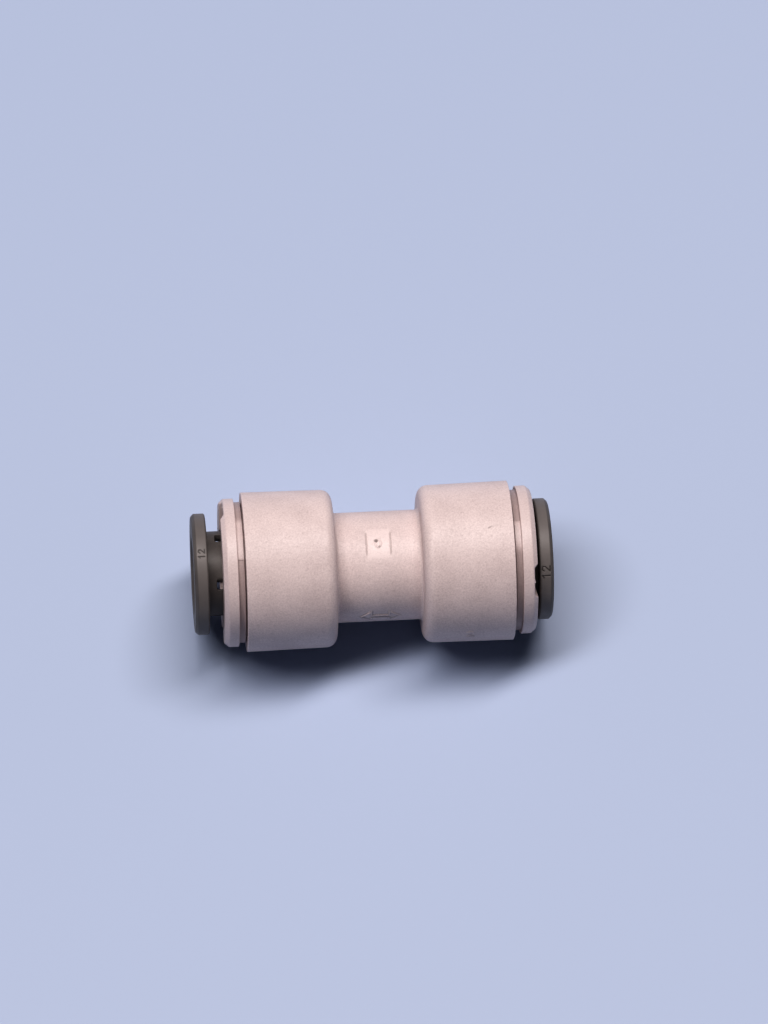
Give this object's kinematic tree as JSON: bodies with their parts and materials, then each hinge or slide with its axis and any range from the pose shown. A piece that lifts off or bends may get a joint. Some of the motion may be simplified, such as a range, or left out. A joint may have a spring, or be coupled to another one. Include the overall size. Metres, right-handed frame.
{
  "type": "push fit tube coupling",
  "caption": "Straight equal push-fit coupling for 12 mm tube: a waisted light grey body with end caps, seals and dark sliding release collets.",
  "frame": {"origin": "middle of the body, on the tube axis", "axes": "+X along the tube axis, towards the collet that is pushed in at rest; +Z towards the gate mark on the neck"},
  "size_m": [0.0604, 0.027, 0.027],
  "materials": {
    "body_acetal": "fine spark-eroded moulded acetal, light warm grey",
    "cap_acetal": "moulded acetal, light warm grey, slightly smoother",
    "collet_acetal": "moulded acetal, dark warm grey, satin",
    "seal_rubber": "nitrile, lightly greased",
    "washer_plastic": "moulded, plain",
    "tooth_steel": "stamped stainless, bright edge"
  },
  "bodies": {
    "housing": {"body": "body_acetal", "left_end_cap": "cap_acetal", "left_o_ring": "seal_rubber", "left_backing_ring": "washer_plastic", "right_end_cap": "cap_acetal", "right_o_ring": "seal_rubber", "right_backing_ring": "washer_plastic"},
    "left_release": {"left_collet": "collet_acetal", "left_grip_tooth_1": "tooth_steel", "left_grip_tooth_2": "tooth_steel", "left_grip_tooth_3": "tooth_steel", "left_grip_tooth_4": "tooth_steel", "left_grip_tooth_5": "tooth_steel"},
    "right_release": {"right_collet": "collet_acetal", "right_grip_tooth_1": "tooth_steel", "right_grip_tooth_2": "tooth_steel", "right_grip_tooth_3": "tooth_steel", "right_grip_tooth_4": "tooth_steel", "right_grip_tooth_5": "tooth_steel"}
  },
  "joints": [
    {"name": "left_collet_slide", "type": "slide", "parent": "housing", "child": "left_release", "axis": [1, 0, 0], "range_m": [0, 0.0022]},
    {"name": "right_collet_slide", "type": "slide", "parent": "housing", "child": "right_release", "axis": [1, 0, 0], "range_m": [-0.00025, 0.00195]}
  ]
}
